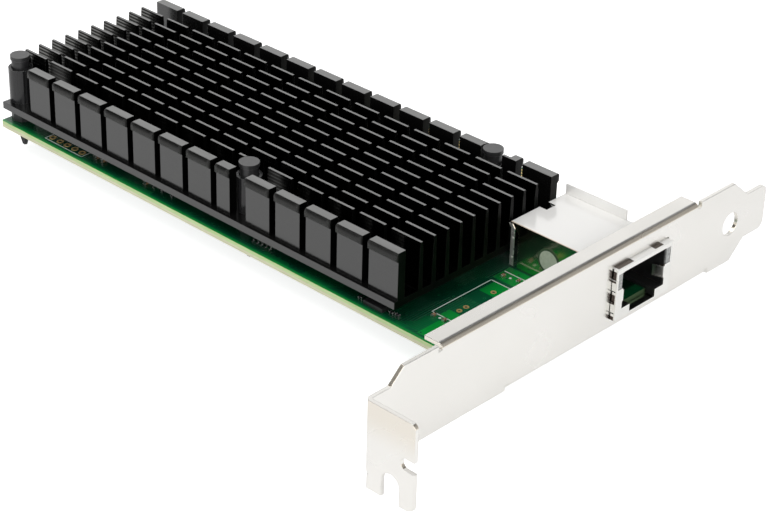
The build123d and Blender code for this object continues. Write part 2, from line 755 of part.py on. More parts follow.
# Shield of the socket: one folded sheet, open below, its front pushed through the window
nose_rear = board_y - window_clearance
spring_y = socket_y + shield
finger_z = z0 + window_low + finger_low
mouth_x = socket_mid - plug_width / 2
with BuildPart() as socket_shield:
    with BuildSketch(Plane.YZ.offset(socket_x)) as shield_side:
        with BuildLine():
            Polyline(
                (socket_y, nose_low),
                (socket_y, socket_top),
                (socket_y + shield_depth, socket_top),
                (shield_rear, socket_top - shield_rear_drop),
                (shield_rear, board_top),
                (nose_rear, board_top),
                (nose_rear, nose_low),
                close=True,
            )
        make_face()
    extrude(amount=socket_width)
    with BuildSketch(Plane.YZ.offset(socket_x + shield)):
        offset(shield_side.sketch_local.faces(), -shield, kind=Kind.INTERSECTION)
        with Locations((spring_y, nose_low + shield)):
            Rectangle(
                shield_rear - shield - spring_y,
                board_top - nose_low + shield,
                align=Align.MIN,
            )
    extrude(amount=socket_width - 2 * shield, mode=Mode.SUBTRACT)
    # Mouth with its latch notch and the two lamp windows
    with BuildSketch(Plane.XZ.offset(-socket_y)):
        with Locations((socket_mid, plug_z)):
            Rectangle(plug_width, plug_height, align=(Align.CENTER, Align.MIN))
            Rectangle(latch_width, 2 * latch_depth)
        with Locations((socket_mid, lamp_top - lamp_height / 2)):
            with GridLocations(2 * lamp_x, 1, 2, 1):
                Rectangle(lamp_width, lamp_height)
    extrude(amount=-shield, mode=Mode.SUBTRACT)
    # Bowed spring fingers in slots, two on each side wall and one on top
    with BuildSketch(Plane.YZ.offset(socket_x)):
        with Locations((spring_y + finger_length / 2, finger_z + (finger_height + finger_pitch) / 2)):
            with GridLocations(1, finger_pitch, 1, 2):
                Rectangle(finger_length, finger_height + 2 * finger_slot)
    extrude(amount=socket_width, mode=Mode.SUBTRACT)
    for level in (finger_z, finger_z + finger_pitch):
        with BuildSketch(Plane.XY.offset(level)):
            with BuildLine():
                Polyline(
                    (socket_x, spring_y),
                    (socket_x - finger_spread, spring_y + finger_length / 2),
                    (socket_x, spring_y + finger_length),
                    (socket_x + shield, spring_y + finger_length),
                    (socket_x + shield - finger_spread, spring_y + finger_length / 2),
                    (socket_x + shield, spring_y),
                    close=True,
                )
            make_face()
            mirror(about=Plane.YZ.offset(socket_mid))
        extrude(amount=finger_height)
    with BuildSketch(Plane.XY.offset(socket_top)):
        with Locations((socket_mid, spring_y)):
            Rectangle(
                top_finger_width + 2 * finger_slot,
                finger_length,
                align=(Align.CENTER, Align.MIN),
            )
        with Locations((socket_mid + shield_tail_slot_shift, socket_y + shield_depth)):
            Rectangle(shield_tail_slot, 2 * shield_tail_slot_depth)
    extrude(amount=-shield_rear_drop, mode=Mode.SUBTRACT)
    with BuildSketch(Plane.YZ.offset(socket_mid - top_finger_width / 2)):
        with BuildLine():
            Polyline(
                (spring_y, socket_top),
                (spring_y + finger_length / 2, socket_top + finger_spread),
                (spring_y + finger_length, socket_top),
                (spring_y + finger_length, socket_top - shield),
                (spring_y + finger_length / 2, socket_top + finger_spread - shield),
                (spring_y, socket_top - shield),
                close=True,
            )
        make_face()
    extrude(amount=top_finger_width)
    # Ground tabs folded in from both sides of the mouth
    with BuildSketch(Plane.XY.offset(plug_z + tab_rise)):
        with BuildLine():
            Polyline(
                (mouth_x, socket_y),
                (mouth_x, socket_y + shield),
                (mouth_x + tab_lean, socket_y + tab_reach),
                (mouth_x + tab_lean + shield, socket_y + tab_reach),
                (mouth_x + shield, socket_y),
                close=True,
            )
        make_face()
        mirror(about=Plane.YZ.offset(socket_mid))
    extrude(amount=tab_height)
    # Rib standing on the far side wall
    rib_y = y0 + side_rib_start
    with BuildSketch(Plane.YZ.offset(socket_x + socket_width - shield)):
        with Locations((rib_y, socket_top - shield)):
            Rectangle(
                socket_y + shield_depth - rib_y,
                side_rib_height + shield,
                align=Align.MIN,
            )
    extrude(amount=shield)
    # Legs through the board
    with BuildSketch(Plane.XY.offset(board_z - pin_below)):
        with Locations((socket_mid, socket_y + shield_leg_from_front)):
            with GridLocations(socket_width - shield, 1, 2, 1):
                Rectangle(shield, shield_leg_width)
    extrude(amount=board_thick + pin_below + shield)
socket_shield.part.label = "socket_shield"
export_step(socket_shield.part, "parts/socket_shield.step")

# Housing of the socket with the plug cavity, latch channel, and lamp slots
housing_nose = nose_low + shield + housing_clearance
wire_z = plug_z + plug_height - wire_rear_drop
lamp_slot_width = inner_width / 2 - plug_width / 2 - lamp_wall
lamp_slot_x = (inner_width - lamp_slot_width) / 2
lamp_low = lamp_top - lamp_height
with BuildPart() as socket_housing:
    with BuildSketch(Plane.YZ.offset(socket_mid - inner_width / 2)):
        with BuildLine():
            Polyline(
                (housing_y, housing_nose),
                (housing_y, housing_top),
                (housing_rear, housing_top),
                (housing_rear, board_top),
                (nose_rear, board_top),
                (nose_rear, housing_nose),
                close=True,
            )
        make_face()
    extrude(amount=inner_width)
    with BuildSketch(Plane.XZ.offset(-housing_y)):
        with Locations((socket_mid, plug_z)):
            Rectangle(plug_width, plug_height, align=(Align.CENTER, Align.MIN))
    extrude(amount=-(socket_y + plug_depth - housing_y), mode=Mode.SUBTRACT)
    with BuildSketch(Plane.XY.offset(plug_z)):
        with Locations((socket_mid, housing_y)):
            Rectangle(latch_width, latch_reach, align=(Align.CENTER, Align.MIN))
    extrude(amount=housing_nose - plug_z, mode=Mode.SUBTRACT)
    with BuildSketch(Plane.XZ.offset(-housing_y)):
        with Locations((socket_mid, lamp_low)):
            with GridLocations(2 * lamp_slot_x, 1, 2, 1):
                Rectangle(lamp_slot_width, lamp_height + lamp_clearance, align=(Align.CENTER, Align.MIN))
        with Locations((socket_mid, wire_z)):
            Rectangle(wire_count * wire_pitch, wire_thick + 2 * lamp_clearance)
    extrude(amount=housing_y - housing_rear, mode=Mode.SUBTRACT)
socket_housing.part.label = "socket_housing"
export_step(socket_housing.part, "parts/socket_housing.step")

# Eight contact wires, slanting up to the front under the roof of the cavity
wire_top = plug_z + plug_height - wire_front_drop
with BuildPart() as one_wire:
    with BuildSketch(Plane.YZ.offset(-wire_width / 2)):
        with BuildLine():
            Polyline(
                (housing_rear, wire_z),
                (socket_y + plug_depth - wire_bend, wire_z),
                (socket_y + wire_front + wire_bend, wire_top),
                (socket_y + wire_front, wire_top - wire_bend / 2),
            )
        trace(line_width=wire_thick)
    extrude(amount=wire_width)
with BuildPart() as socket_wires:
    with Locations((socket_mid, 0, 0)):
        with GridLocations(wire_pitch, 1, wire_count, 1):
            add(one_wire.part)
socket_wires.part.label = "socket_wires"
export_step(socket_wires.part, "parts/socket_wires.step")

# Magnetics block behind the housing and its solder pins
with BuildPart() as socket_magnetics:
    with BuildSketch(Plane.XY.offset(board_top)):
        with Locations((socket_mid, housing_rear)):
            Rectangle(inner_width, rear_inside - housing_rear, align=(Align.CENTER, Align.MIN))
    extrude(amount=housing_top - board_top)
socket_magnetics.part.label = "socket_magnetics"
export_step(socket_magnetics.part, "parts/socket_magnetics.step")

with BuildPart() as socket_pins:
    with BuildSketch(Plane.XY.offset(board_z - pin_below)):
        with Locations((socket_mid, solder_pin_y)):
            with GridLocations(pin_pitch, pin_pitch, pin_count, 2):
                Rectangle(pin_size, pin_size)
    extrude(amount=board_thick + pin_below)
socket_pins.part.label = "socket_pins"
export_step(socket_pins.part, "parts/socket_pins.step")

# Clear light pipes beside the cavity
pipe_width = lamp_slot_width - lamp_clearance
pipe_y = socket_y + lamp_recess
with BuildPart() as light_pipe_left:
    with BuildSketch(Plane.XY.offset(lamp_low)):
        with Locations((mouth_x - lamp_wall, pipe_y)):
            Rectangle(pipe_width, housing_rear - pipe_y, align=(Align.MAX, Align.MIN))
    extrude(amount=lamp_height)
light_pipe_left.part.label = "light_pipe_left"
export_step(light_pipe_left.part, "parts/light_pipe_left.step")

with BuildPart() as light_pipe_right:
    mirror(light_pipe_left.part, about=Plane.YZ.offset(socket_mid))
light_pipe_right.part.label = "light_pipe_right"
export_step(light_pipe_right.part, "parts/light_pipe_right.step")

# Round blank sticker on the near side of the shield
with BuildPart() as round_sticker:
    with BuildSketch(Plane.YZ.offset(socket_x - sticker_thick)):
        with Locations((y0 + sticker_from_face, z0 + sticker_height)):
            Circle(sticker_radius)
    extrude(amount=sticker_thick)
round_sticker.part.label = "round_sticker"
export_step(round_sticker.part, "parts/round_sticker.step")
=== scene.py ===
import math
import bpy
from mathutils import Matrix, Vector


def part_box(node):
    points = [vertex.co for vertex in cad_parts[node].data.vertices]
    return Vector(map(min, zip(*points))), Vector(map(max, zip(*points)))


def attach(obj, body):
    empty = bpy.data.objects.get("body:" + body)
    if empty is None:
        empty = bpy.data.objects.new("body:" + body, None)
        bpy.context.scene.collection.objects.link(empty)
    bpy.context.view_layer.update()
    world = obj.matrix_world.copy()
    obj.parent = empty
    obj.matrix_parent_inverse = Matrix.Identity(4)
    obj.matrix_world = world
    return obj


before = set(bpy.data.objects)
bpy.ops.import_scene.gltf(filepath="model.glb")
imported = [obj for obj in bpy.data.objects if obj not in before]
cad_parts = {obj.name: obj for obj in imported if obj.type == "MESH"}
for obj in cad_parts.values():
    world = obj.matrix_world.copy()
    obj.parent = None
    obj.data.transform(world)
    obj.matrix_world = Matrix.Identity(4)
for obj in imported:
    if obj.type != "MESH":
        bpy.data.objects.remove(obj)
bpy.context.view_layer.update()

# Studio: the camera stands before the near front corner of the card, above the bracket.
# Its place was fitted to the standard bracket in the photograph. A pale floor lies under
# the card. Gloss sees a white studio with a dark ceiling ring and two soft dark flags.
mm = 0.001
camera_place = Vector((-299.10, -294.12, 237.11)) * mm
camera_azimuth = math.radians(-47.06)
camera_elevation = math.radians(29.92)
camera_roll = math.radians(1.65)
camera_data = bpy.data.cameras.new("camera")
camera_data.sensor_width = 36.0
camera_data.lens = 105.42
camera_data.clip_end = 20.0
camera = bpy.data.objects.new("camera", camera_data)
bpy.context.scene.collection.objects.link(camera)
turn = Matrix.Rotation(camera_azimuth, 4, "Z") @ Matrix.Rotation(math.pi / 2 - camera_elevation, 4, "X")
camera.matrix_world = Matrix.Translation(camera_place) @ turn @ Matrix.Rotation(camera_roll, 4, "Z")
bpy.context.scene.camera = camera
bpy.context.scene.view_settings.view_transform = "Standard"


def start_material(name):
    material = bpy.data.materials.new(name)
    material.use_nodes = True
    tree = material.node_tree
    return material, tree, tree.nodes["Principled BSDF"]


def set_or_link(tree, socket, value):
    """A socket gets a number as its own value, or a link from an output."""
    if isinstance(value, (int, float)):
        socket.default_value = value
    else:
        tree.links.new(value, socket)


def reckon(tree, operation, first, second=0.0, clamp=False):
    """The result of one sum on two values, each a number or an output."""
    step = tree.nodes.new("ShaderNodeMath")
    step.operation = operation
    step.use_clamp = clamp
    set_or_link(tree, step.inputs[0], first)
    set_or_link(tree, step.inputs[1], second)
    return step.outputs[0]


def fade(tree, value, start, end, low=0.0, high=1.0, smooth=False):
    """A value that runs from low to high while the given one runs from start to end."""
    ramp = tree.nodes.new("ShaderNodeMapRange")
    if smooth:
        ramp.interpolation_type = "SMOOTHSTEP"
    for name, level in (("Value", value), ("From Min", start), ("From Max", end), ("To Min", low), ("To Max", high)):
        set_or_link(tree, ramp.inputs[name], level)
    return ramp.outputs[0]


def mix_levels(tree, mask, below, above):
    """Level below where the mask is 0 and level above where it is 1; each a number or an output."""
    blend = tree.nodes.new("ShaderNodeMix")
    for name, level in (("Factor", mask), ("A", below), ("B", above)):
        set_or_link(tree, blend.inputs[name], level)
    return blend.outputs["Result"]


def background_rays(tree, with_gloss):
    """1 for a ray that should meet the white background: seen, passed through glass, or mirrored."""
    path = tree.nodes.new("ShaderNodeLightPath")
    seen = path.outputs["Is Camera Ray"]
    for kind in ["Is Transmission Ray"] + ["Is Glossy Ray"] * with_gloss:
        seen = reckon(tree, "MAXIMUM", seen, path.outputs[kind])
    return seen, path.outputs["Is Glossy Ray"]


floor_half = 1.6
floor_drop = 0.02
floor_glow_seen = 0.80
floor_glow_mirrored = 0.36
bpy.ops.object.select_all(action="DESELECT")
bpy.ops.mesh.primitive_plane_add(size=2 * floor_half, location=(0, 0, -floor_drop * mm))
floor = bpy.context.object
floor.name = "studio_floor"
bpy.ops.object.transform_apply(location=True, rotation=True, scale=True)
floor_white, tree, shader = start_material("floor_white")
shader.inputs["Base Color"].default_value = (0.72, 0.72, 0.72, 1)
shader.inputs["Roughness"].default_value = 0.9
shader.inputs["Specular IOR Level"].default_value = 0.1
glow = tree.nodes.new("ShaderNodeEmission")
seen, mirrored_ray = background_rays(tree, True)
tree.links.new(fade(tree, mirrored_ray, 0.0, 1.0, floor_glow_seen, floor_glow_mirrored), glow.inputs["Strength"])
lit = tree.nodes.new("ShaderNodeAddShader")
shown = tree.nodes.new("ShaderNodeMixShader")
for start, end in (
    (shader.outputs[0], lit.inputs[0]), (glow.outputs[0], lit.inputs[1]), (seen, shown.inputs[0]),
    (shader.outputs[0], shown.inputs[1]), (lit.outputs[0], shown.inputs[2]),
    (shown.outputs[0], tree.nodes["Material Output"].inputs["Surface"]),
):
    tree.links.new(start, end)
floor.data.materials.append(floor_white)

world_light = 0.38
ceiling_ring = [(0.0, 1.0), (0.565, 1.0), (0.60, 0.20), (0.63, 0.03), (0.80, 0.05), (0.92, 0.62)]
flags = (((-0.58, 0.64, 0.40), 0.02, 0.93, 0.82), ((0.68, -0.66, 0.28), 0.33, 0.95, 0.80))
world = bpy.data.worlds.new("studio")
bpy.context.scene.world = world
world.use_nodes = True
tree = world.node_tree
sky = tree.nodes["Background"]
sky.inputs["Color"].default_value = (1, 1, 1, 1)
seen, mirrored_ray = background_rays(tree, False)
direction = tree.nodes.new("ShaderNodeTexCoord").outputs["Generated"]
height = tree.nodes.new("ShaderNodeSeparateXYZ")
tree.links.new(direction, height.inputs[0])
ring = tree.nodes.new("ShaderNodeValToRGB")
for place, level in ceiling_ring:
    stop = ring.color_ramp.elements[0] if place == 0.0 else ring.color_ramp.elements.new(place)
    stop.color = (level, level, level, 1)
ring.color_ramp.elements[-1].color = (0.62, 0.62, 0.62, 1)
tree.links.new(height.outputs["Z"], ring.inputs["Fac"])
mirrored_level = ring.outputs["Color"]
for aim, level, inner, outer in flags:
    toward = tree.nodes.new("ShaderNodeVectorMath")
    toward.operation = "DOT_PRODUCT"
    toward.inputs[1].default_value = Vector(aim).normalized()
    tree.links.new(direction, toward.inputs[0])
    within = fade(tree, toward.outputs["Value"], outer, inner, smooth=True)
    mirrored_level = mix_levels(tree, within, mirrored_level, level)
shaded = mix_levels(tree, mirrored_ray, world_light, mirrored_level)
tree.links.new(mix_levels(tree, seen, shaded, 1.0), sky.inputs["Strength"])


def soft_light(name, place, aim, width, height, power):
    lamp = bpy.data.lights.new(name, "AREA")
    lamp.shape = "RECTANGLE"
    lamp.size = width
    lamp.size_y = height
    lamp.energy = power
    holder = bpy.data.objects.new(name, lamp)
    bpy.context.scene.collection.objects.link(holder)
    away = (Vector(place) - Vector(aim)).to_track_quat("Z", "Y")
    holder.matrix_world = Matrix.Translation(place) @ away.to_matrix().to_4x4()


soft_light("top_light", (-0.15, 0.15, 0.75), (0, 0, 0), 0.7, 0.7, 2.6)
soft_light("front_light", (-0.25, -0.75, 0.35), (0, -0.05, 0), 0.8, 0.5, 3.4)
soft_light("side_light", (-0.80, 0.10, 0.18), (0, 0, 0.01), 0.5, 0.3, 1.0)


# Bracket: one folded sheet of steel with a screw flange, a stiffening lip and a foot.
# It is punched, folded and nickel plated; the plating is pale and silky, with faint
# clouds, fine scratches along the sheet and a slightly bare look at the cut edges.
flange_reach = 11.43
flange_drop = 3.48
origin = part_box("bracket")[0] + Vector((0, flange_reach, flange_drop)) * mm


def place_in_mm(tree):
    """A point's place in mm from the flange's face, the bracket's front and the card's lower edge."""
    place = tree.nodes.new("ShaderNodeTexCoord")
    in_mm = tree.nodes.new("ShaderNodeMapping")
    in_mm.inputs["Scale"].default_value = (1 / mm, 1 / mm, 1 / mm)
    in_mm.inputs["Location"].default_value = -origin / mm
    split = tree.nodes.new("ShaderNodeSeparateXYZ")
    tree.links.new(place.outputs["Object"], in_mm.inputs["Vector"])
    tree.links.new(in_mm.outputs[0], split.inputs[0])
    return in_mm.outputs[0], split.outputs


def facing_parts(tree):
    """Which way a face looks: the three parts of its true normal."""
    surface = tree.nodes.new("ShaderNodeNewGeometry")
    split = tree.nodes.new("ShaderNodeSeparateXYZ")
    tree.links.new(surface.outputs["True Normal"], split.inputs[0])
    return split.outputs


def start_group(name, given, put_out):
    """An empty node group with sockets given as name and kind, and its two end nodes."""
    group = bpy.data.node_groups.new(name, "ShaderNodeTree")
    for way, sockets in (("INPUT", given), ("OUTPUT", put_out)):
        for socket, kind in sockets:
            group.interface.new_socket(socket, in_out=way, socket_type="NodeSocket" + kind)
    return group, group.nodes.new("NodeGroupInput").outputs, group.nodes.new("NodeGroupOutput").inputs


def mottle():
    """Node group: noise on object coordinates, stretched per axis, between Low and High."""
    group, given, out = start_group(
        "mottle", [("Spread", "Vector"), ("Low", "Float"), ("High", "Float")], [("Value", "Float")]
    )
    place = group.nodes.new("ShaderNodeTexCoord")
    stretch = group.nodes.new("ShaderNodeVectorMath")
    stretch.operation = "MULTIPLY"
    cloud = group.nodes.new("ShaderNodeTexNoise")
    cloud.inputs["Scale"].default_value = 1.0
    cloud.inputs["Detail"].default_value = 2.5
    group.links.new(place.outputs["Object"], stretch.inputs[0])
    group.links.new(given["Spread"], stretch.inputs[1])
    group.links.new(stretch.outputs[0], cloud.inputs["Vector"])
    group.links.new(fade(group, cloud.outputs["Fac"], 0.25, 0.75, given["Low"], given["High"]), out["Value"])
    return group


def edge_wear():
    """Node group: the normal with edges rounded by Radius, and a mask that is Amount along outer edges."""
    group, given, out = start_group(
        "edge_wear", [("Radius", "Float"), ("Amount", "Float")], [("Mask", "Float"), ("Normal", "Vector")]
    )
    rounded = group.nodes.new("ShaderNodeBevel")
    rounded.samples = 4
    flat = group.nodes.new("ShaderNodeNewGeometry")
    along = group.nodes.new("ShaderNodeVectorMath")
    along.operation = "DOT_PRODUCT"
    group.links.new(given["Radius"], rounded.inputs["Radius"])
    group.links.new(rounded.outputs["Normal"], along.inputs[0])
    group.links.new(flat.outputs["True Normal"], along.inputs[1])
    group.links.new(fade(group, along.outputs["Value"], 0.995, 0.86, high=given["Amount"]), out["Mask"])
    group.links.new(rounded.outputs["Normal"], out["Normal"])
    return group


mottle_group = mottle()
wear_group = edge_wear()


def spread_noise(tree, spread, low, high):
    """A value that wanders between low and high; spread is in waves per metre along X, Y and Z."""
    cloud = tree.nodes.new("ShaderNodeGroup")
    cloud.node_tree = mottle_group
    cloud.inputs["Spread"].default_value = spread if isinstance(spread, tuple) else (spread, spread, spread)
    cloud.inputs["Low"].default_value = low
    cloud.inputs["High"].default_value = high
    return cloud.outputs["Value"]


def worn_edges(tree, radius, amount=0.0):
    """The mask of the outer edges and the normal rounded over them, for a radius in mm."""
    wear = tree.nodes.new("ShaderNodeGroup")
    wear.node_tree = wear_group
    wear.inputs["Radius"].default_value = radius * mm
    wear.inputs["Amount"].default_value = amount
    return wear.outputs["Mask"], wear.outputs["Normal"]


def mix_colours(tree, mask, below, above):
    """Colour below where the mask is 0 and colour above where it is 1; each a colour or an output."""
    blend = tree.nodes.new("ShaderNodeMix")
    blend.data_type = "RGBA"
    tree.links.new(mask, blend.inputs["Factor"])
    for name, colour in (("A", below), ("B", above)):
        socket = [s for s in blend.inputs if s.name == name and s.type == "RGBA"][0]
        if isinstance(colour, tuple):
            socket.default_value = (*colour, 1)
        else:
            tree.links.new(colour, socket)
    return [s for s in blend.outputs if s.type == "RGBA"][0]


def raise_surface(tree, shader, height, depth, normal=None):
    """Bump of some depth in mm on a material, over a rounded normal if one is given."""
    bump = tree.nodes.new("ShaderNodeBump")
    bump.inputs["Distance"].default_value = depth * mm
    tree.links.new(height, bump.inputs["Height"])
    if normal:
        tree.links.new(normal, bump.inputs["Normal"])
    tree.links.new(bump.outputs["Normal"], shader.inputs["Normal"])


def worn_finish(
    name, dark, light, cloud, rough, metal=0.0, relief=0.01, grain=1500.0, edge=None, radius=0.12, bare=0.6
):
    """A finish with clouds of two near colours, uneven gloss, grain of some depth in mm, and worn edges."""
    material, tree, shader = start_material(name)
    colour = mix_colours(tree, spread_noise(tree, cloud, 0.0, 1.0), dark, light)
    mask, normal = worn_edges(tree, radius, bare)
    if edge:
        colour = mix_colours(tree, mask, colour, edge)
    tree.links.new(colour, shader.inputs["Base Color"])
    shader.inputs["Metallic"].default_value = metal
    tree.links.new(spread_noise(tree, cloud, rough * 0.82, rough * 1.2), shader.inputs["Roughness"])
    raise_surface(tree, shader, spread_noise(tree, grain, 0.0, 1.0), relief, normal)
    return material


def open_finish(material):
    """The parts of a finish that a section goes on working on: its tree, shader and colour."""
    shader = material.node_tree.nodes["Principled BSDF"]
    return material.node_tree, shader, shader.inputs["Base Color"].links[0].from_socket


def dress(node, material):
    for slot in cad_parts[node].material_slots:
        slot.material = material


fold_shade_low, fold_shade_high = 6.0, 13.5
lip_level = 17.6
bracket_nickel = worn_finish(
    "bracket_nickel", (0.83, 0.815, 0.78), (0.87, 0.855, 0.825), (60.0, 60.0, 90.0), 0.25,
    metal=1.0, relief=0.0012, grain=(260.0, 2600.0, 2600.0), edge=(0.90, 0.88, 0.84), radius=0.25, bare=0.5,
)
tree, shader, plated = open_finish(bracket_nickel)
part = place_in_mm(tree)[1]
facing = facing_parts(tree)
# painted shade: the flange's outer face is painted warmer and darker towards the fold above it
fold_shade = fade(tree, part["Z"], fold_shade_low, fold_shade_high, smooth=True)
flange_fold_shade = reckon(tree, "MULTIPLY", fold_shade, reckon(tree, "LESS_THAN", facing["X"], -0.5))
plated = mix_colours(tree, flange_fold_shade, plated, (0.81, 0.765, 0.69))
# painted light: faces that look up are tinted warm, as the lit bend along the lip looks, and the level tops, the
# lip's top and the flange's upper edge, are painted paler as a highlight
plated = mix_colours(tree, reckon(tree, "GREATER_THAN", facing["Z"], 0.30), plated, (0.95, 0.875, 0.755))
lit_level_face = reckon(tree, "GREATER_THAN", facing["Z"], 0.93)
plated = mix_colours(tree, lit_level_face, plated, (0.955, 0.935, 0.89))
tree.links.new(plated, shader.inputs["Base Color"])
# on the flange's upper edge the plating is also made less metallic, so that the painted highlight shows
cut_edge = reckon(tree, "MULTIPLY", lit_level_face, reckon(tree, "LESS_THAN", part["Z"], lip_level))
tree.links.new(fade(tree, cut_edge, 0.0, 1.0, 1.0, 0.25), shader.inputs["Metallic"])
dress("bracket", bracket_nickel)


# Posts and screws of the foot: two short turned posts riveted in the foot, and two
# cross-head screws of plated steel that hold the circuit board to them.
post_steel = worn_finish(
    "post_steel", (0.62, 0.61, 0.58), (0.74, 0.73, 0.70), 300.0, 0.30,
    metal=1.0, relief=0.004, grain=(600.0, 600.0, 5200.0), edge=(0.85, 0.84, 0.81),
)
dress("bracket_posts", post_steel)
screw_steel = worn_finish(
    "screw_steel", (0.58, 0.57, 0.54), (0.72, 0.71, 0.68), 700.0, 0.26,
    metal=1.0, relief=0.004, grain=4200.0, edge=(0.88, 0.87, 0.84),
)
dress("bracket_screws", screw_steel)


# Circuit board: glass fibre and resin laminate, sawn to shape, its cut side cream and
# green. Both faces carry copper tracks and areas under a glossy green solder mask.
board_low, board_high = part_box("circuit_board")
laminate_split = ((board_low + board_high) / 2 - origin).z / mm


def board_tracks():
    """Node group: masks of copper under the solder mask: tracks, larger areas, and plated holes with rings."""
    masks = [(name, "Float") for name in ("Tracks", "Areas", "Rings", "Holes")]
    group, given, out = start_group("board_tracks", [("Place", "Vector")], masks)

    def sums(operation, first, second=0.0):
        return reckon(group, operation, first, second)

    def parts(vector):
        split = group.nodes.new("ShaderNodeSeparateXYZ")
        group.links.new(vector, split.inputs[0])
        return split.outputs

    place = parts(given["Place"])
    across, along = place["X"], place["Y"]
    # blocks of about 9 mm choose which way their tracks run, and whether they carry tracks
    cells = group.nodes.new("ShaderNodeTexVoronoi")
    cells.distance = "CHEBYCHEV"
    cells.voronoi_dimensions = "2D"
    cells.inputs["Scale"].default_value = 0.11
    cells.inputs["Randomness"].default_value = 0.8
    group.links.new(given["Place"], cells.inputs["Vector"])
    pick = parts(cells.outputs["Color"])
    lines = []
    for line, pitch, width in ((across, 0.62, 0.30), (along, 0.62, 0.30), (sums("ADD", across, along), 0.9, 0.38)):
        lines.append(sums("LESS_THAN", sums("FRACT", sums("DIVIDE", line, pitch)), width))
    way = sums("LESS_THAN", pick["X"], 0.45)
    skew = sums("GREATER_THAN", pick["X"], 0.82)
    straight = sums("ADD", sums("MULTIPLY", lines[0], way), sums("MULTIPLY", lines[1], sums("SUBTRACT", 1.0, way)))
    mixed = sums("ADD", sums("MULTIPLY", straight, sums("SUBTRACT", 1.0, skew)), sums("MULTIPLY", lines[2], skew))
    group.links.new(sums("MULTIPLY", mixed, sums("LESS_THAN", pick["Y"], 0.62)), out["Tracks"])
    group.links.new(sums("GREATER_THAN", pick["Z"], 0.72), out["Areas"])
    holes = group.nodes.new("ShaderNodeTexVoronoi")
    holes.voronoi_dimensions = "2D"
    holes.inputs["Scale"].default_value = 0.34
    holes.inputs["Randomness"].default_value = 0.9
    group.links.new(given["Place"], holes.inputs["Vector"])
    some = sums("GREATER_THAN", parts(holes.outputs["Color"])["X"], 0.45)
    for name, reach in (("Rings", 0.105), ("Holes", 0.045)):
        group.links.new(sums("MULTIPLY", sums("LESS_THAN", holes.outputs["Distance"], reach), some), out[name])
    return group


def patch(tree, place, low, high):
    """1 inside a rectangle given in mm of the bracket's frame."""
    split = tree.nodes.new("ShaderNodeSeparateXYZ")
    tree.links.new(place, split.inputs[0])
    inside = 1.0
    for axis, start, end in (("X", low[0], high[0]), ("Y", low[1], high[1])):
        inside = reckon(tree, "MULTIPLY", inside, reckon(tree, "GREATER_THAN", split.outputs[axis], start))
        inside = reckon(tree, "MULTIPLY", inside, reckon(tree, "LESS_THAN", split.outputs[axis], end))
    return inside


copper_areas = (
    ((56.9, 14.0), (61.6, 23.9)), ((43.9, 14.0), (47.0, 23.0)),
    ((62.9, 19.0), (68.2, 25.6)), ((36.2, 2.0), (42.6, 21.6)),
)
board_mask_green, tree, shader = start_material("board_mask_green")
spot, part = place_in_mm(tree)
tracks = tree.nodes.new("ShaderNodeGroup")
tracks.node_tree = board_tracks()
tree.links.new(spot, tracks.inputs["Place"])
mask_clouds = spread_noise(tree, 60.0, 0.0, 1.0)
green = mix_colours(tree, mask_clouds, (0.0012, 0.080, 0.034), (0.002, 0.108, 0.040))
green = mix_colours(tree, tracks.outputs["Areas"], green, (0.0012, 0.150, 0.040))
green = mix_colours(tree, tracks.outputs["Tracks"], green, (0.003, 0.165, 0.055))
for low, high in copper_areas:
    green = mix_colours(tree, patch(tree, spot, low, high), green, (0.0005, 0.315, 0.042))
# painted shade: little light gets under the socket, so the board there is painted dark green, darker still towards
# the back
socket_shade = patch(tree, spot, (69.5, 1.0), (85.5, 12.5))
green = mix_colours(tree, socket_shade, green, (0.0008, 0.060, 0.020))
green = mix_colours(tree, patch(tree, spot, (69.5, 3.6), (85.5, 12.5)), green, (0.0006, 0.010, 0.005))
green = mix_colours(tree, tracks.outputs["Rings"], green, (0.008, 0.175, 0.060))
green = mix_colours(tree, tracks.outputs["Holes"], green, (0.004, 0.050, 0.020))
# painted shade: the heatsink keeps the light off the board below it, so the board is painted darker there
heatsink_shade = 1.0
for axis, start, end, most in (("X", 35.6, 37.6, 0.85), ("X", 86.5, 84.3, 1.0), ("Y", 20.5, 27.5, 0.85)):
    heatsink_shade = reckon(tree, "MULTIPLY", heatsink_shade, fade(tree, part[axis], start, end, high=most, smooth=True))
green = mix_colours(tree, heatsink_shade, green, (0.0006, 0.022, 0.012))
# painted light: a strip of the board along the sawn edge is painted brighter
edge_painted_light = fade(tree, part["X"], 36.0, 35.2, smooth=True)
green = mix_colours(tree, edge_painted_light, green, (0.010, 0.30, 0.055))
face = reckon(tree, "GREATER_THAN", reckon(tree, "ABSOLUTE", facing_parts(tree)["Z"]), 0.35)
fibres = spread_noise(tree, (260.0, 260.0, 5200.0), 0.0, 1.0)
upper = mix_colours(tree, fibres, (0.50, 0.68, 0.29), (0.70, 0.84, 0.47))
lower = mix_colours(tree, fibres, (0.66, 0.67, 0.44), (0.83, 0.82, 0.61))
sawn = mix_colours(tree, reckon(tree, "GREATER_THAN", part["Z"], laminate_split), lower, upper)
# painted shade: the sawn edge under the socket is painted dark as well
sawn = mix_colours(tree, socket_shade, sawn, (0.03, 0.060, 0.02))
tree.links.new(mix_colours(tree, face, sawn, green), shader.inputs["Base Color"])
tree.links.new(fade(tree, face, 0.0, 1.0, 0.75, 0.24), shader.inputs["Roughness"])
raised = reckon(tree, "ADD", tracks.outputs["Tracks"], spread_noise(tree, 2500.0, 0.0, 0.35))
raise_surface(tree, shader, raised, 0.012)
dress("circuit_board", board_mask_green)


# White lines printed on the board: the outline of a second socket that isn't fitted, a
# line by the fitted one, and the box of the header. Each is a thin layer of paint.
def at(x, y, z):
    """The point that lies at a place given in mm of the bracket's frame."""
    return origin + Vector((x, y, z)) * mm


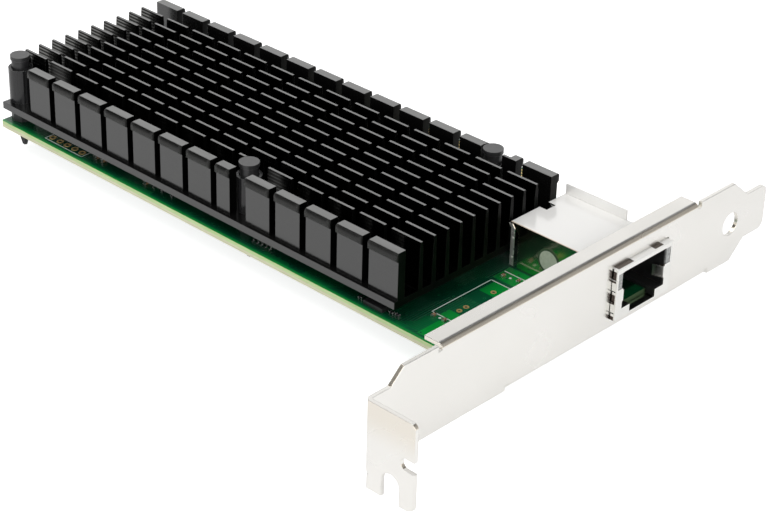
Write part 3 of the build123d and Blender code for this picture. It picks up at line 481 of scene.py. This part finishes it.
def start_block(name, low, high):
    """A block between two corners given in mm of the bracket's frame."""
    bpy.ops.object.select_all(action="DESELECT")
    size = [(b - a) * mm for a, b in zip(low, high)]
    bpy.ops.mesh.primitive_cube_add(size=1, location=at(*[(a + b) / 2 for a, b in zip(low, high)]), scale=size)
    bpy.context.object.name = name
    bpy.ops.object.transform_apply(location=True, rotation=True, scale=True)
    return bpy.context.object


def start_disc(name, x, y, low, thick, radius, sides):
    """A flat disc of some thickness that stands at a height, in mm of the bracket's frame."""
    bpy.ops.object.select_all(action="DESELECT")
    bpy.ops.mesh.primitive_cylinder_add(
        vertices=sides, radius=radius * mm, depth=thick * mm, location=at(x, y, low + thick / 2)
    )
    bpy.context.object.name = name
    bpy.ops.object.transform_apply(location=True, rotation=True, scale=True)
    return bpy.context.object


def bevel_edges(piece, width, steps=1):
    bpy.ops.object.mode_set(mode="EDIT")
    bpy.ops.mesh.select_all(action="SELECT")
    bpy.ops.mesh.bevel(offset=width * mm, segments=steps, affect="EDGES")
    bpy.ops.object.mode_set(mode="OBJECT")
    return piece


def copy_at(piece, shift):
    """A copy of a piece with its own mesh, moved by some mm."""
    copy = piece.copy()
    copy.data = piece.data.copy()
    copy.data.transform(Matrix.Translation(Vector(shift) * mm))
    bpy.context.scene.collection.objects.link(copy)
    return copy


def join_as(name, pieces):
    bpy.ops.object.select_all(action="DESELECT")
    for piece in pieces:
        piece.select_set(True)
    bpy.context.view_layer.objects.active = pieces[0]
    bpy.ops.object.join()
    joined = bpy.context.object
    joined.name = name
    joined.data.name = name
    return joined


board_top = 3.97
line_wide = 0.24
line_thick = 0.03
line_bevel = 0.012
lines = (
    (44.1, 24.9, 61.7, 24.9), (44.1, 3.0, 44.1, 24.9), (61.7, 3.0, 61.7, 24.9), (66.3, 16.5, 66.3, 25.2),
    (36.4, 123.0, 36.4, 135.6), (36.4, 135.6, 39.2, 135.6), (36.4, 123.0, 39.2, 123.0),
)
dots = ((64.9, 22.6), (43.3, 22.1))
line_paint = worn_finish(
    "line_paint", (0.70, 0.78, 0.72), (0.80, 0.86, 0.81), 3000.0, 0.55, relief=0.006, grain=5000.0
)
printed = []
for x0, y0, x1, y1 in lines:
    low = (min(x0, x1) - line_wide / 2, min(y0, y1) - line_wide / 2, board_top)
    high = (max(x0, x1) + line_wide / 2, max(y0, y1) + line_wide / 2, board_top + line_thick)
    printed.append(bevel_edges(start_block("printed_line", low, high), line_bevel))
for x, y in dots:
    printed.append(bevel_edges(start_disc("printed_dot", x, y, board_top, line_thick, 0.3, 20), line_bevel))
printed_lines = join_as("printed_lines", printed)
printed_lines.data.materials.append(line_paint)
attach(printed_lines, "root")


# Plated holes of the board: five pads of a header by the near edge and three holes of
# the socket that isn't fitted. Copper rings with gold on them, and a dark drilled bore.
ring_thick = 0.05
bore_slope, bore_deep = 0.05, 0.03
header_pitch = 2.54
ring_gold = worn_finish(
    "ring_gold", (0.62, 0.42, 0.13), (0.86, 0.63, 0.26), 2600.0, 0.34, metal=0.5, relief=0.004, grain=6000.0
)
# painted shade: the shallow dish in each ring is painted dark, standing for the shade down the drilled hole
bore_shade, tree, shader = start_material("bore_shade")
bore_colour = mix_colours(tree, spread_noise(tree, 3000.0, 0.0, 1.0), (0.01, 0.025, 0.012), (0.04, 0.05, 0.025))
tree.links.new(bore_colour, shader.inputs["Base Color"])
shader.inputs["Roughness"].default_value = 0.7


def select_top(piece):
    """Selects the faces of a piece that look up, and no others."""
    bpy.ops.object.mode_set(mode="EDIT")
    bpy.ops.mesh.select_mode(type="FACE")
    bpy.ops.mesh.select_all(action="DESELECT")
    bpy.ops.object.mode_set(mode="OBJECT")
    for face in piece.data.polygons:
        face.select = face.normal.z > 0.9


def plated_ring(name, x, y, outer, inner):
    ring = start_disc(name, x, y, board_top, ring_thick, outer, 24)
    ring.data.materials.append(ring_gold)
    ring.data.materials.append(bore_shade)
    select_top(ring)
    bpy.ops.object.mode_set(mode="EDIT")
    bpy.ops.mesh.inset(thickness=(outer - inner) * mm, depth=0)
    bpy.ops.mesh.inset(thickness=bore_slope * mm, depth=-bore_deep * mm)
    bpy.ops.object.mode_set(mode="OBJECT")
    for face in ring.data.polygons:
        if face.select:
            face.material_index = 1
    return ring


header_pad = plated_ring("header_pad", 37.75, 124.3, 0.85, 0.5)
header_pads = [header_pad] + [copy_at(header_pad, (0, header_pitch * step, 0)) for step in range(1, 5)]
socket_hole = plated_ring("socket_hole", 58.30, 21.3, 0.62, 0.34)
socket_holes = [socket_hole] + [copy_at(socket_hole, (x - 58.30, 0, 0)) for x in (48.1, 50.1)]
plated_holes = join_as("plated_holes", header_pads + socket_holes)
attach(plated_holes, "root")


# Edge contacts: rows of copper fingers on both faces of the tab that goes into the slot,
# plated with nickel and hard gold, so they are bright, warm and finely brushed.
contact_gold = worn_finish(
    "contact_gold", (0.76, 0.52, 0.19), (0.90, 0.66, 0.28), 400.0, 0.22,
    metal=1.0, relief=0.003, grain=(260.0, 4200.0, 4200.0), edge=(0.95, 0.74, 0.38), radius=0.06,
)
dress("edge_contacts_top", contact_gold)
dress("edge_contacts_low", contact_gold)


# Main chip under the heatsink: an organic carrier soldered to the board, a nickelled
# lid, and a grey thermal pad pressed between the lid and the heatsink's base.
carrier_green = worn_finish("carrier_green", (0.010, 0.085, 0.045), (0.016, 0.125, 0.062), 200.0, 0.40, relief=0.006)
dress("chip_carrier", carrier_green)
lid_nickel = worn_finish(
    "lid_nickel", (0.62, 0.61, 0.59), (0.74, 0.73, 0.71), 160.0, 0.36, metal=1.0, relief=0.004, grain=2200.0
)
dress("chip_lid", lid_nickel)
pad_grey = worn_finish("pad_grey", (0.30, 0.33, 0.40), (0.40, 0.43, 0.50), 500.0, 0.85, relief=0.03, grain=1800.0)
dress("thermal_pad", pad_grey)


# Memory chip, crystal, coils and regulators: moulded black epoxy with tinned copper
# legs, a pressed metal can, and blocks of pressed iron powder.
chip_epoxy = worn_finish(
    "chip_epoxy", (0.014, 0.014, 0.015), (0.026, 0.026, 0.027), 500.0, 0.46,
    relief=0.012, grain=5200.0, edge=(0.05, 0.05, 0.05), radius=0.08,
)
dress("memory_chip", chip_epoxy)
dress("regulators", chip_epoxy)
tin_bright = worn_finish(
    "tin_bright", (0.66, 0.66, 0.64), (0.82, 0.82, 0.80), 1400.0, 0.26,
    metal=1.0, relief=0.006, grain=4200.0, edge=(0.9, 0.9, 0.88), radius=0.05,
)
dress("memory_chip_leads", tin_bright)
dress("crystal", lid_nickel)
coil_iron = worn_finish(
    "coil_iron", (0.055, 0.055, 0.058), (0.10, 0.10, 0.105), 900.0, 0.62, relief=0.03, grain=3800.0
)
dress("power_coils", coil_iron)


# Capacitors and resistors: small fired ceramic blocks, tan or black, whose two ends are
# dipped in metal and tinned. More of them stand by the near edge, by the socket and in
# a row beside the edge contacts.
end_reach = 0.28
end_wall = 0.02
end_bevel = 0.045
block_bevel = 0.04
capacitor_tan = worn_finish(
    "capacitor_tan", (0.28, 0.16, 0.085), (0.38, 0.235, 0.13), 1200.0, 0.42,
    grain=4200.0, edge=(0.48, 0.33, 0.2), radius=0.06,
)
dress("capacitors", capacitor_tan)
resistor_black = worn_finish(
    "resistor_black", (0.012, 0.012, 0.014), (0.03, 0.03, 0.034), 1200.0, 0.32,
    relief=0.006, grain=4200.0, edge=(0.3, 0.3, 0.3), radius=0.04, bare=0.3,
)
dress("resistors", resistor_black)


def tinned_ends(places, long_x, long_y, thick):
    """Two tinned ends on each of the blocks that stand at these places, long along X or Y."""
    half = max(long_x, long_y) / 2
    side = min(long_x, long_y) / 2 + end_wall
    x, y = places[0]
    span = 2 * half + end_wall - end_reach
    if long_x > long_y:
        low = (x - half - end_wall, y - side, board_top)
        high = (x - half + end_reach, y + side, board_top + thick + end_wall)
        other = (span, 0, 0)
    else:
        low = (x - side, y - half - end_wall, board_top)
        high = (x + side, y - half + end_reach, board_top + thick + end_wall)
        other = (0, span, 0)
    first = bevel_edges(start_block("tinned_end", low, high), end_bevel)
    ends = [first, copy_at(first, other)]
    for next_x, next_y in places[1:]:
        ends += [copy_at(end, (next_x - x, next_y - y, 0)) for end in ends[:2]]
    return ends


def ceramic_blocks(name, places, half_x, half_y, thick):
    """Bevelled blocks at these places on the board, joined as one piece with the name in the plural."""
    x, y = places[0]
    low, high = (x - half_x, y - half_y, board_top), (x + half_x, y + half_y, board_top + thick)
    first = bevel_edges(start_block(name, low, high), block_bevel)
    return join_as(name + "s", [first] + [copy_at(first, (a - x, b - y, 0)) for a, b in places[1:]])


row = [59.9 + (i - 3.5) * 3.0 for i in range(8)]
extra_places = [(64.45, 24.15), (65.0, 20.5), (43.1, 23.55), (43.15, 20.8)]
near_places = [(37.5, 38.1), (37.7, 29.8), (37.9, 28.4)]
line_places = [(90.4, 46.4 + 2.9 * step) for step in range(12)]
tinned = []
for places, long_x, long_y, thick in (
    ([(38.65, 120.1), (38.65, 117.9), (38.65, 103.7)], 1.6, 0.8, 0.8),
    ([(38.65, 101.0), (38.65, 98.5), (38.65, 95.3)], 1.0, 0.5, 0.4),
    ([(x, 50.8) for x in row], 0.8, 1.6, 0.8),
    ([(x, 112.95) for x in row], 0.5, 1.0, 0.4),
    (extra_places, 1.15, 0.65, 0.5),
    (near_places, 0.6, 1.1, 0.45),
    (line_places, 1.15, 0.65, 0.5),
):
    tinned += tinned_ends(places, long_x, long_y, thick)
tinned_piece = join_as("tinned_ends", tinned)
tinned_piece.data.materials.append(tin_bright)
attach(tinned_piece, "root")

small_blocks = ceramic_blocks("small_block", extra_places + line_places, 0.56, 0.31, 0.49)
small_blocks.data.materials.append(capacitor_tan)
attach(small_blocks, "root")
near_blocks = ceramic_blocks("near_block", near_places, 0.29, 0.54, 0.44)
near_blocks.data.materials.append(resistor_black)
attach(near_blocks, "root")


# Driver chip by the near edge: a small flat block of black epoxy with its legs under it.
# Only its near side shows, below the heatsink.
driver_low, driver_high = (36.3, 31.1, board_top), (38.9, 36.4, board_top + 0.95)
driver_chip = bevel_edges(start_block("driver_chip", driver_low, driver_high), 0.12, 2)
driver_chip.data.materials.append(chip_epoxy)
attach(driver_chip, "root")


# Heatsink: one extruded length of aluminium with thin fins and a thick outer web, then
# cross-cut into blocks by gang saw and anodised black. The tops carry a painted highlight, and the cut faces, fin
# sides and rolled lip are painted darker, as painted shade and dark reflection.
rib_pitch = 0.75
rolled_low = 17.2
near_web, far_web = 36.12, 83.7
inner_start, inner_end = 38.6, 81.2
fins_front, fins_back = 20.0, 150.0
rear_start = 143.6
fin_tops = (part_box("heatsink")[1] - origin).z / mm
heatsink_black, tree, shader = start_material("heatsink_black")
spot, part = place_in_mm(tree)
black = mix_colours(
    tree, spread_noise(tree, (1500.0, 14.0, 1500.0), 0.0, 1.0), (0.0028, 0.0028, 0.0028), (0.0050, 0.0050, 0.0048)
)
# painted highlight: the tops of the fins and blocks are painted pale grey, in clouds
on_top = reckon(tree, "GREATER_THAN", part["Z"], fin_tops - 0.03)
top_highlight = mix_colours(
    tree, spread_noise(tree, (700.0, 60.0, 700.0), 0.0, 1.0), (0.130, 0.130, 0.127), (0.185, 0.185, 0.181)
)
black = mix_colours(tree, on_top, black, top_highlight)
worn_mask, worn_normal = worn_edges(tree, 0.10, 0.07)
black = mix_colours(tree, worn_mask, black, (0.17, 0.17, 0.165))
# painted shade: the cut faces, which look along the fins, are painted darker
sawn = reckon(tree, "GREATER_THAN", reckon(tree, "ABSOLUTE", facing_parts(tree)["Y"]), 0.7)
black = mix_colours(tree, sawn, black, (0.013, 0.013, 0.013))
# fine ribs from the extrusion run along the sides of the inner fins; the sides are painted near black, a painted
# shade between the fins, and the ribs pale, partly a painted highlight, paler still at the rear end as a painted
# reflection
inner = patch(tree, spot, (inner_start, fins_front), (inner_end, fins_back))
shaded_fin_sides = reckon(tree, "SUBTRACT", inner, reckon(tree, "ADD", on_top, sawn), clamp=True)
depth = reckon(tree, "DIVIDE", reckon(tree, "SUBTRACT", fin_tops, part["Z"]), rib_pitch)
ribs = reckon(tree, "GREATER_THAN", reckon(tree, "FRACT", depth), 0.60)
rear_reflection = patch(tree, spot, (inner_start, rear_start), (inner_end, fins_back))
rib_highlight = mix_colours(tree, rear_reflection, (0.050, 0.050, 0.049), (0.170, 0.170, 0.165))
black = mix_colours(tree, shaded_fin_sides, black, mix_colours(tree, ribs, (0.017, 0.017, 0.016), rib_highlight))
# the rolled lip that stands out from the outer webs; its face is painted darker, a painted dark reflection
above_lip = reckon(tree, "GREATER_THAN", part["Z"], rolled_low)
outside = reckon(tree, "SUBTRACT", above_lip, patch(tree, spot, (near_web, 0.0), (far_web, 160.0)), clamp=True)
lip_dark_band = reckon(tree, "SUBTRACT", outside, on_top, clamp=True)
black = mix_colours(tree, lip_dark_band, black, (0.040, 0.040, 0.039))
# the faces painted darker are made fully metallic, so their dark colour dims what they mirror
painted_dark_faces = reckon(tree, "MAXIMUM", sawn, reckon(tree, "MAXIMUM", lip_dark_band, shaded_fin_sides))
tree.links.new(painted_dark_faces, shader.inputs["Metallic"])
tree.links.new(black, shader.inputs["Base Color"])
shader.inputs["IOR"].default_value = 1.82
satin = spread_noise(tree, (900.0, 40.0, 900.0), 0.19, 0.26)
tree.links.new(reckon(tree, "ADD", reckon(tree, "MULTIPLY", sawn, 0.20), satin), shader.inputs["Roughness"])
rolled = tree.nodes.new("ShaderNodeMix")
rolled.data_type = "VECTOR"
vector_inputs = [socket for socket in rolled.inputs if socket.type == "VECTOR" and socket.name in ("A", "B")]
tree.links.new(outside, rolled.inputs["Factor"])
tree.links.new(worn_normal, vector_inputs[0])
tree.links.new(worn_edges(tree, 1.3)[1], vector_inputs[1])
rolled_normal = [socket for socket in rolled.outputs if socket.type == "VECTOR"][0]
raise_surface(tree, shader, spread_noise(tree, (3000.0, 25.0, 3000.0), 0.0, 1.0), 0.006, rolled_normal)
dress("heatsink", heatsink_black)


# Push pins, their sleeves, springs and spacers: three split nylon pins press the
# heatsink down through steel springs, guided by tall black sleeves and washers.
head_tops = (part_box("push_pins")[1] - origin).z / mm
# the grey along the pins' edges is wear and partly a painted highlight on the heads' rims
pin_nylon = worn_finish(
    "pin_nylon", (0.014, 0.014, 0.015), (0.028, 0.028, 0.029), 700.0, 0.36,
    relief=0.012, grain=2600.0, edge=(0.36, 0.36, 0.36),
)
tree, shader, moulded = open_finish(pin_nylon)
# painted light: the tops of the pin heads are painted paler grey
head_top_light = reckon(tree, "GREATER_THAN", place_in_mm(tree)[1]["Z"], head_tops - 0.05)
tree.links.new(mix_colours(tree, head_top_light, moulded, (0.105, 0.105, 0.105)), shader.inputs["Base Color"])
dress("push_pins", pin_nylon)
sleeve_black = worn_finish(
    "sleeve_black", (0.007, 0.007, 0.008), (0.024, 0.024, 0.025), (2600.0, 2600.0, 60.0), 0.20,
    relief=0.02, grain=(3200.0, 3200.0, 50.0), edge=(0.30, 0.30, 0.30),
)
dress("pin_sleeves", sleeve_black)
spring_steel = worn_finish(
    "spring_steel", (0.42, 0.42, 0.41), (0.60, 0.60, 0.58), 900.0, 0.28, metal=1.0, relief=0.004, grain=3200.0
)
dress("pin_springs", spring_steel)
spacer_nylon = worn_finish(
    "spacer_nylon", (0.012, 0.012, 0.012), (0.026, 0.026, 0.027), 700.0, 0.45, relief=0.012, grain=2600.0
)
dress("pin_spacers", spacer_nylon)


# Network socket: a shield folded from bright tinned sheet with sprung fingers, over a
# black moulded housing with eight gilt wires, magnetics behind it and tinned pins.
shield_middle = 77.45
shield_half = 8.68
lid_low = 11.0
rib_low = 14.25
nose_front, nose_back = -0.95, 0.6
opening_shade_colour = (0.075, 0.060, 0.052)
shield_tin = worn_finish(
    "shield_tin", (0.80, 0.795, 0.765), (0.87, 0.865, 0.84), (120.0, 90.0, 160.0), 0.15,
    metal=1.0, relief=0.003, grain=(500.0, 60.0, 900.0), edge=(0.93, 0.92, 0.90), radius=0.10, bare=0.7,
)
tree, shader, plated = open_finish(shield_tin)
spot, part = place_in_mm(tree)
facing = facing_parts(tree)
# painted light: the lid's top and the rib above it are painted paler and made less metallic, so they show as lit
# from above
lid_height = reckon(tree, "GREATER_THAN", part["Z"], lid_low)
lid = reckon(tree, "MULTIPLY", reckon(tree, "GREATER_THAN", facing["Z"], 0.6), lid_height)
lit_top = reckon(tree, "MAXIMUM", lid, reckon(tree, "GREATER_THAN", part["Z"], rib_low))
tree.links.new(fade(tree, lit_top, 0.0, 1.0, 1.0, 0.12), shader.inputs["Metallic"])
plated = mix_colours(tree, lit_top, plated, (0.99, 0.98, 0.955))
# painted reflection: the near side behind the nose is tinted brown and darker
near_side = reckon(tree, "LESS_THAN", part["X"], 69.0)
side_reflection = reckon(tree, "MULTIPLY", near_side, reckon(tree, "GREATER_THAN", part["Y"], 1.0))
plated = mix_colours(tree, side_reflection, plated, (0.80, 0.68, 0.55))
# painted shade: the openings beside the sprung fingers of the nose, two on top, three on each side, are dark patches
# that stand for the shade behind them
off_middle = reckon(tree, "ABSOLUTE", reckon(tree, "SUBTRACT", part["X"], shield_middle))
sideways = reckon(tree, "GREATER_THAN", reckon(tree, "ABSOLUTE", facing["X"]), 0.8)
side_face = reckon(tree, "MULTIPLY", sideways, reckon(tree, "GREATER_THAN", off_middle, shield_half))
top_face = reckon(tree, "GREATER_THAN", facing["Z"], 0.8)
upright = tree.nodes.new("ShaderNodeCombineXYZ")
tree.links.new(part["Y"], upright.inputs["X"])
tree.links.new(part["Z"], upright.inputs["Y"])
for place, wall, low, high, shade in (
    (spot, top_face, (69.3, nose_front), (73.85, nose_back), (0.17, 0.145, 0.125)),
    (spot, top_face, (81.05, nose_front), (83.6, nose_back), (0.12, 0.10, 0.085)),
    (upright.outputs[0], side_face, (nose_front, 11.15), (nose_back, 13.7), opening_shade_colour),
    (upright.outputs[0], side_face, (nose_front, 6.3), (nose_back, 8.5), opening_shade_colour),
    (upright.outputs[0], side_face, (nose_front, 2.7), (nose_back, 3.6), opening_shade_colour),
):
    opening_shade = reckon(tree, "MULTIPLY", patch(tree, place, low, high), wall)
    plated = mix_colours(tree, opening_shade, plated, shade)
tree.links.new(plated, shader.inputs["Base Color"])
dress("socket_shield", shield_tin)
housing_black = worn_finish(
    "housing_black", (0.008, 0.008, 0.008), (0.016, 0.016, 0.016), 500.0, 0.34,
    relief=0.012, grain=3600.0, edge=(0.06, 0.06, 0.06),
)
dress("socket_housing", housing_black)
dress("socket_magnetics", housing_black)
dress("socket_wires", contact_gold)
dress("socket_pins", tin_bright)


# Seam of the shield: at its rear near corner the side sheet is folded over the rear one,
# as a narrow upright flap with two small tacks that hold it.
seam_low, seam_high = (68.56, 25.15, 4.3), (68.70, 26.15, 12.9)
slant_back, slant_up = 0.7, 0.9
tack_radius, tack_thick = 0.32, 0.16
tack_x, tack_y = 68.54, 25.65
seam = start_block("shield_seam", seam_low, seam_high)
select_top(seam)
bpy.ops.object.mode_set(mode="EDIT")
bpy.ops.mesh.extrude_region_move(TRANSFORM_OT_translate={"value": (0, slant_back * mm, slant_up * mm)})
bpy.ops.object.mode_set(mode="OBJECT")
bevel_edges(seam, 0.04)
tacks = []
for tack_z in (6.2, 10.6):
    bpy.ops.object.select_all(action="DESELECT")
    bpy.ops.mesh.primitive_cylinder_add(
        vertices=14, radius=tack_radius * mm, depth=tack_thick * mm,
        location=at(tack_x, tack_y, tack_z), rotation=(0, math.pi / 2, 0),
    )
    bpy.ops.object.transform_apply(location=True, rotation=True, scale=True)
    tacks.append(bevel_edges(bpy.context.object, 0.05, 2))
shield_seam = join_as("shield_seam", [seam] + tacks)
seam_tin = worn_finish(
    "seam_tin", (0.80, 0.79, 0.74), (0.90, 0.89, 0.85), 500.0, 0.30,
    metal=0.7, relief=0.006, grain=3200.0, edge=(0.95, 0.93, 0.88), radius=0.06,
)
shield_seam.data.materials.append(seam_tin)
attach(shield_seam, "root")


# Light pipes beside the cavity: clear plastic with a grey cast, which carry the light
# of two lamps on the board to the front.
pipe_clear, tree, shader = start_material("pipe_clear")
pipe_colour = mix_colours(tree, spread_noise(tree, 900.0, 0.0, 1.0), (0.42, 0.43, 0.42), (0.62, 0.63, 0.62))
tree.links.new(pipe_colour, shader.inputs["Base Color"])
tree.links.new(spread_noise(tree, 1600.0, 0.18, 0.34), shader.inputs["Roughness"])
shader.inputs["Transmission Weight"].default_value = 0.35
shader.inputs["IOR"].default_value = 1.49
dress("light_pipe_left", pipe_clear)
dress("light_pipe_right", pipe_clear)


# Round sticker on the near side of the shield: pale green paper with a darker rim,
# left without print.
rim_start = 2.30
sticker_low, sticker_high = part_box("round_sticker")
sticker_green, tree, shader = start_material("sticker_green")
from_middle = tree.nodes.new("ShaderNodeVectorMath")
from_middle.operation = "DISTANCE"
from_middle.inputs[1].default_value = ((sticker_low + sticker_high) / 2 - origin) / mm
tree.links.new(place_in_mm(tree)[0], from_middle.inputs[0])
rim = reckon(tree, "GREATER_THAN", from_middle.outputs["Value"], rim_start)
paper = mix_colours(tree, spread_noise(tree, 1500.0, 0.0, 1.0), (0.50, 0.56, 0.43), (0.62, 0.67, 0.55))
tree.links.new(mix_colours(tree, rim, paper, (0.045, 0.085, 0.040)), shader.inputs["Base Color"])
tree.links.new(spread_noise(tree, 2600.0, 0.45, 0.6), shader.inputs["Roughness"])
raise_surface(tree, shader, spread_noise(tree, 4200.0, 0.0, 1.0), 0.012)
dress("round_sticker", sticker_green)


# Solder under the board: the cones that the wave leaves round the socket's twelve pins
# and the two legs of its shield, smooth and bright, narrowing down the pin.
board_bottom = 2.4
solder_low = 1.75
solder_narrow, solder_wide = 0.42, 0.80
pin_pitch = 2.0
first_x, first_y = 72.45, 20.4
leg_y = 10.25
bpy.ops.object.select_all(action="DESELECT")
bpy.ops.mesh.primitive_cone_add(
    vertices=16, radius1=solder_narrow * mm, radius2=solder_wide * mm, depth=(board_bottom - solder_low) * mm,
    location=at(first_x, first_y, (board_bottom + solder_low) / 2),
)
bpy.ops.object.transform_apply(location=True, rotation=True, scale=True)
cone = bevel_edges(bpy.context.object, 0.10, 2)
cones = [cone]
for i in range(6):
    for j in range(2):
        if i + j:
            cones.append(copy_at(cone, (pin_pitch * i, pin_pitch * j, 0)))
cones += [copy_at(cone, (leg_x - first_x, leg_y - first_y, 0)) for leg_x in (68.85, 86.05)]
solder_cones = join_as("solder_cones", cones)
bpy.ops.object.select_all(action="DESELECT")
solder_cones.select_set(True)
bpy.ops.object.shade_smooth_by_angle(angle=math.radians(40))
solder_cones.data.materials.append(tin_bright)
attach(solder_cones, "root")
